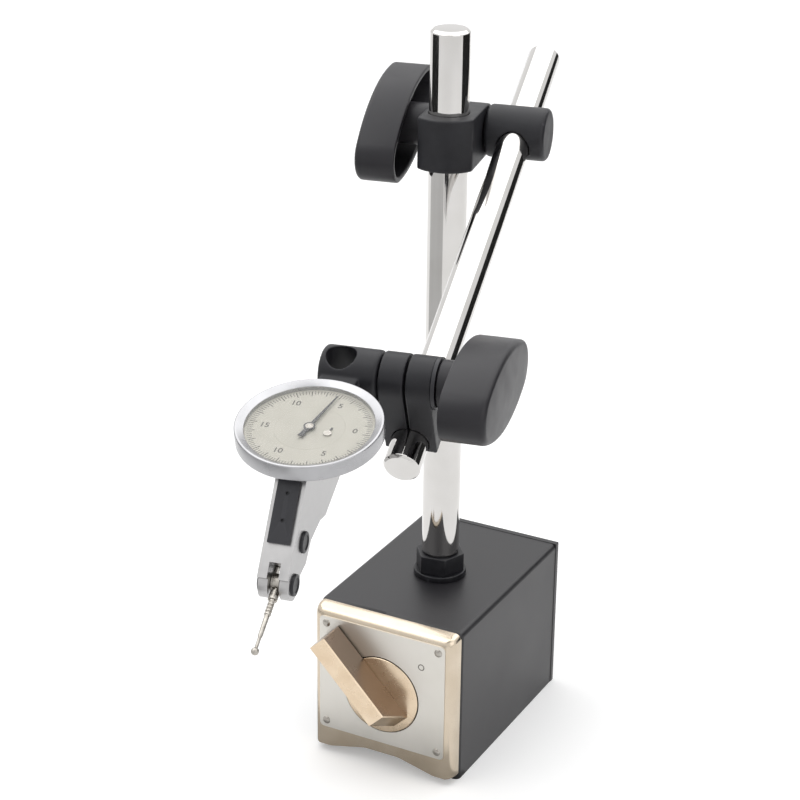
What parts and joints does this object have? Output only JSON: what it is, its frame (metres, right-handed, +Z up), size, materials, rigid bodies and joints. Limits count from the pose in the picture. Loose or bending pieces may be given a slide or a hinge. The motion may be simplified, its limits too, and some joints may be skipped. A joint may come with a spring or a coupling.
{
  "type": "magnetic indicator stand",
  "caption": "Switchable magnetic base with a column, cross clamps and a tilted arm that carries a lever test indicator with a turning bezel and a swinging stylus.",
  "frame": {"origin": "on the floor, under the middle of the black base body", "axes": "+X to the right of the switch face, +Y from the switch face to the rear, +Z up the column"},
  "size_m": [0.104, 0.2265, 0.2315],
  "materials": {
    "base_paint": "black enamel with a slight sheen",
    "clamp_paint": "semi-matte black coating on steel",
    "knob_plastic": "fine-grained black moulding",
    "black_oxide": "blackened steel",
    "chrome": "polished hard chrome",
    "nickel": "warm satin nickel",
    "satin_plate": "brushed satin plate, bare",
    "satin_chrome": "satin chrome",
    "steel": "bare steel",
    "brass": "turned brass",
    "magnet": "sintered magnet",
    "dial_paint": "cream dial with printed scale",
    "pointer_black": "black lacquer",
    "crystal": "clear flat crystal"
  },
  "bodies": {
    "base": {"left_pole": "base_paint", "right_pole": "base_paint", "brass_spacer": "brass", "front_cover": "nickel", "cover_screws": "steel", "name_plate": "satin_plate", "plate_rivets": "steel", "rear_plate": "base_paint", "rear_screws": "steel", "front_bush": "brass", "rear_bush": "brass", "column_washer": "black_oxide", "column_nut": "black_oxide"},
    "switch": {"switch_knob": "nickel", "magnet_rotor": "magnet", "magnet_shaft": "steel", "drive_pin": "steel"},
    "column": {"column": "chrome"},
    "upper_clamp": {"upper_clamp_block": "clamp_paint", "upper_thrust_washer": "black_oxide"},
    "upper_knob": {"upper_knob": "knob_plastic", "upper_knob_insert": "brass"},
    "upper_swivel": {"upper_drawbar": "clamp_paint"},
    "arm": {"arm": "chrome"},
    "lower_clamp": {"left_jaw": "clamp_paint", "right_jaw": "clamp_paint", "lower_thrust_washer": "black_oxide"},
    "lower_knob": {"lower_knob": "knob_plastic", "lower_knob_insert": "brass"},
    "indicator": {"lower_drawbar": "clamp_paint", "dovetail_screw": "steel", "indicator_body": "satin_chrome", "dovetail_strip": "black_oxide", "strip_screws": "black_oxide", "side_screw": "black_oxide", "pivot_screws": "black_oxide", "centre_dial": "dial_paint"},
    "bezel": {"bezel": "satin_chrome", "dial_plate": "dial_paint", "crystal": "crystal"},
    "lever": {"sector_lever": "steel"},
    "stylus": {"stylus_holder": "steel", "stylus": "steel"},
    "crown": {"crown_wheel": "brass"},
    "pointer": {"pointer": "pointer_black", "pointer_arbor": "steel"},
    "counter": {"counter_hand": "pointer_black"}
  },
  "joints": [
    {"name": "switch_turn", "type": "hinge", "parent": "base", "child": "switch", "pos_m": [0, -0.036, 0.027], "axis": [0, 1, 0], "range_deg": [0, 90]},
    {"name": "column_turn", "type": "hinge", "parent": "base", "child": "column", "pos_m": [0, -0.002, 0], "axis": [0, 0, 1], "continuous": true},
    {"name": "clamp_slide", "type": "slide", "parent": "column", "child": "upper_clamp", "axis": [0, 0, 1], "range_m": [-0.11, 0.022]},
    {"name": "upper_knob_turn", "type": "hinge", "parent": "upper_clamp", "child": "upper_knob", "pos_m": [-0.00249, 0.00974, 0.1983], "axis": [-0.9781, -0.2079, 0], "range_deg": [0, 270]},
    {"name": "arm_swivel", "type": "hinge", "parent": "upper_clamp", "child": "upper_swivel", "pos_m": [-0.00249, 0.00974, 0.1983], "axis": [0.9781, 0.2079, 0], "range_deg": [-114, 25]},
    {"name": "arm_slide", "type": "slide", "parent": "upper_swivel", "child": "arm", "axis": [-0.1899, 0.8936, 0.4067], "range_m": [-0.027, 0.032]},
    {"name": "lower_clamp_turn", "type": "hinge", "parent": "arm", "child": "lower_clamp", "pos_m": [0.0156, 0.01358, 0.1983], "axis": [-0.1899, 0.8936, 0.4067], "continuous": true},
    {"name": "lower_knob_turn", "type": "hinge", "parent": "lower_clamp", "child": "lower_knob", "pos_m": [0.03998, -0.1011, 0.16416], "axis": [0.9781, 0.2079, 0], "range_deg": [0, 270]},
    {"name": "indicator_swivel", "type": "hinge", "parent": "lower_clamp", "child": "indicator", "pos_m": [0.03998, -0.1011, 0.16416], "axis": [0.9781, 0.2079, 0], "range_deg": [-90, 15]},
    {"name": "bezel_turn", "type": "hinge", "parent": "indicator", "child": "bezel", "pos_m": [0.02959, -0.13546, 0.16154], "axis": [0.0457, -0.215, 0.9755], "continuous": true},
    {"name": "lever_swing", "type": "hinge", "parent": "indicator", "child": "lever", "pos_m": [0.0348, -0.15994, 0.13066], "axis": [0.9781, 0.2079, 0], "range_deg": [-1.3, 1.3], "stiffness_Nm_per_rad": 0.1},
    {"name": "stylus_set", "type": "hinge", "parent": "lever", "child": "stylus", "pos_m": [0.0348, -0.15994, 0.13066], "axis": [0.9781, 0.2079, 0], "range_deg": [-75, 120]},
    {"name": "crown_turn", "type": "hinge", "parent": "indicator", "child": "crown", "pos_m": [0.02905, -0.13288, 0.14983], "axis": [0.9781, 0.2079, 0], "range_deg": [-50, 50]},
    {"name": "pointer_turn", "type": "hinge", "parent": "indicator", "child": "pointer", "pos_m": [0.02959, -0.13546, 0.16154], "axis": [0.0457, -0.215, 0.9755], "range_deg": [-200, 200]},
    {"name": "counter_turn", "type": "hinge", "parent": "indicator", "child": "counter", "pos_m": [0.03487, -0.13573, 0.16123], "axis": [0.0457, -0.215, 0.9755], "range_deg": [-20, 20]}
  ],
  "couplings": [
    {"joint": "crown_turn", "follows": "lever_swing", "ratio": -32.668},
    {"joint": "pointer_turn", "follows": "lever_swing", "ratio": 140.47},
    {"joint": "counter_turn", "follows": "lever_swing", "ratio": -14.047}
  ]
}
